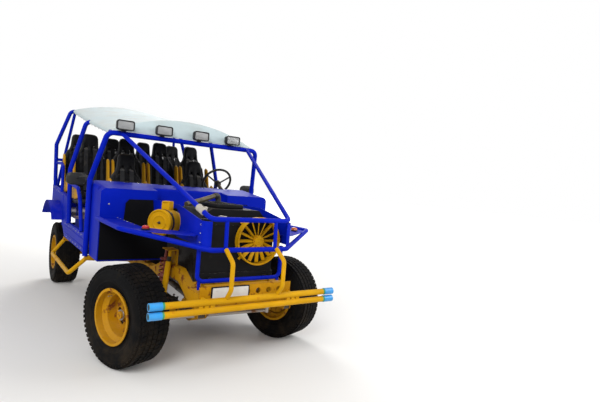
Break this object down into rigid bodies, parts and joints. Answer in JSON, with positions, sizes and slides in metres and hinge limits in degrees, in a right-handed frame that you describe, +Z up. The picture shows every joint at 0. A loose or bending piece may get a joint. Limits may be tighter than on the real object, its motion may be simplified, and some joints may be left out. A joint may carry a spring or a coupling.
{
  "type": "dune buggy",
  "caption": "Open tour dune buggy: tube cage with an arched canopy, rows of bucket seats, ladder frame on leaf springs, open nose with fan, steel wheels.",
  "frame": {"origin": "on the ground, midway along and across the vehicle", "axes": "+Z up, the nose faces -Y, +X is the driver's side, the vehicle's left"},
  "size_m": [2.088, 4.2954, 2.4398],
  "materials": {
    "black_plastic": "matte black plastic",
    "blue_paint": "gloss ultramarine paint",
    "brake_steel": "rusty machined iron",
    "canopy": "pale coated canvas",
    "dark_metal": "dark oily metal",
    "lens_amber": "amber plastic",
    "lens_clear": "clear ribbed glass",
    "lens_red": "red plastic",
    "plate_white": "bare white plate",
    "red_primer": "dull dark red paint",
    "seat_black": "black vinyl",
    "sleeve_blue": "light blue paint",
    "steel": "worn bare steel",
    "tyre": "dull black rubber",
    "yellow_paint": "worn satin yellow paint"
  },
  "bodies": {
    "root": {"frame_rails": "yellow_paint", "frame_members": "yellow_paint", "front_crossmember": "yellow_paint", "front_axle": "dark_metal", "rear_axle": "dark_metal", "leaf_springs": "yellow_paint", "shocks": "yellow_paint", "coil_dampers": "red_primer", "engine_block": "dark_metal", "engine_top": "black_plastic", "gearbox": "dark_metal", "propeller_shafts": "dark_metal", "exhaust": "brake_steel", "fuel_tank": "black_plastic", "bumper_tubes": "yellow_paint", "bumper_sleeves": "sleeve_blue", "bumper_uprights": "yellow_paint", "nose_cage": "blue_paint", "front_fenders": "blue_paint", "nose_side_panels": "blue_paint", "radiator": "black_plastic", "fan_ring": "yellow_paint", "air_filter": "yellow_paint", "filter_band": "black_plastic", "intake_pipe": "steel", "cowl": "blue_paint", "floor_pan": "blue_paint", "side_sills": "blue_paint", "rear_body": "blue_paint", "rear_fenders": "blue_paint", "roll_cage": "blue_paint", "roof_canopy": "canopy", "seats_front": "seat_black", "seats_middle": "seat_black", "seats_rear": "seat_black", "seat_frames": "blue_paint", "lamp_housings": "black_plastic", "lamp_lenses": "lens_clear", "marker_lamps": "lens_amber", "tail_lamps": "lens_red", "mirrors": "black_plastic", "steering_column": "black_plastic", "plate_frame": "black_plastic", "number_plate": "plate_white", "step_bars": "yellow_paint"},
    "knuckle_left": {"knuckle_left": "dark_metal"},
    "knuckle_right": {"knuckle_right": "dark_metal"},
    "wheel_front_left": {"tyre_front_left": "tyre", "wheel_front_left": "yellow_paint"},
    "wheel_front_right": {"tyre_front_right": "tyre", "wheel_front_right": "yellow_paint"},
    "wheel_rear_left": {"tyre_rear_left": "tyre", "wheel_rear_left": "yellow_paint"},
    "wheel_rear_right": {"tyre_rear_right": "tyre", "wheel_rear_right": "yellow_paint"},
    "steering_wheel": {"steering_wheel": "black_plastic"},
    "tie_rod": {"tie_rod": "dark_metal"},
    "drag_link": {"drag_link": "dark_metal"},
    "pitman_arm": {"pitman_arm": "dark_metal"},
    "fan_rotor": {"fan_rotor": "yellow_paint"}
  },
  "joints": [
    {"name": "steer_left", "type": "hinge", "parent": "root", "child": "knuckle_left", "pos_m": [0.6, -1.37865, 0.39], "axis": [0, 0, 1], "range_deg": [-49, 11]},
    {"name": "steer_right", "type": "hinge", "parent": "root", "child": "knuckle_right", "pos_m": [-0.6, -1.37865, 0.39], "axis": [0, 0, 1], "range_deg": [-49, 11]},
    {"name": "pitman_turn", "type": "hinge", "parent": "root", "child": "pitman_arm", "pos_m": [0.308, -1.52865, 0.4], "axis": [0, 0, 1], "range_deg": [-49, 11]},
    {"name": "tie_rod_pivot", "type": "hinge", "parent": "knuckle_left", "child": "tie_rod", "pos_m": [0.53977, -1.20373, 0.36], "axis": [0, 0, 1], "range_deg": [-11, 49]},
    {"name": "drag_link_pivot", "type": "hinge", "parent": "pitman_arm", "child": "drag_link", "pos_m": [0.36823, -1.70357, 0.385], "axis": [0, 0, 1], "range_deg": [-11, 49]},
    {"name": "steering_wheel_turn", "type": "hinge", "parent": "root", "child": "steering_wheel", "pos_m": [0.55, -0.12865, 1.47], "axis": [0, 0.8572, 0.515], "range_deg": [-784, 176]},
    {"name": "fan_spin", "type": "hinge", "parent": "root", "child": "fan_rotor", "pos_m": [0.15, -1.83525, 1.015], "axis": [0, -1, 0], "continuous": true},
    {"name": "wheel_front_left_spin", "type": "hinge", "parent": "knuckle_left", "child": "wheel_front_left", "pos_m": [0.75507, -1.32526, 0.39], "axis": [0.9455, 0.3256, 0], "continuous": true},
    {"name": "wheel_front_right_spin", "type": "hinge", "parent": "knuckle_right", "child": "wheel_front_right", "pos_m": [-0.75507, -1.43204, 0.39], "axis": [0.9455, 0.3256, 0], "continuous": true},
    {"name": "wheel_rear_left_spin", "type": "hinge", "parent": "root", "child": "wheel_rear_left", "pos_m": [0.764, 1.57135, 0.39], "axis": [1, 0, 0], "continuous": true},
    {"name": "wheel_rear_right_spin", "type": "hinge", "parent": "root", "child": "wheel_rear_right", "pos_m": [-0.764, 1.57135, 0.39], "axis": [1, 0, 0], "continuous": true}
  ],
  "couplings": [
    {"joint": "steer_right", "follows": "steer_left", "ratio": 1},
    {"joint": "pitman_turn", "follows": "steer_left", "ratio": 1},
    {"joint": "tie_rod_pivot", "follows": "steer_left", "ratio": -1},
    {"joint": "drag_link_pivot", "follows": "steer_left", "ratio": -1},
    {"joint": "steering_wheel_turn", "follows": "steer_left", "ratio": 16}
  ]
}
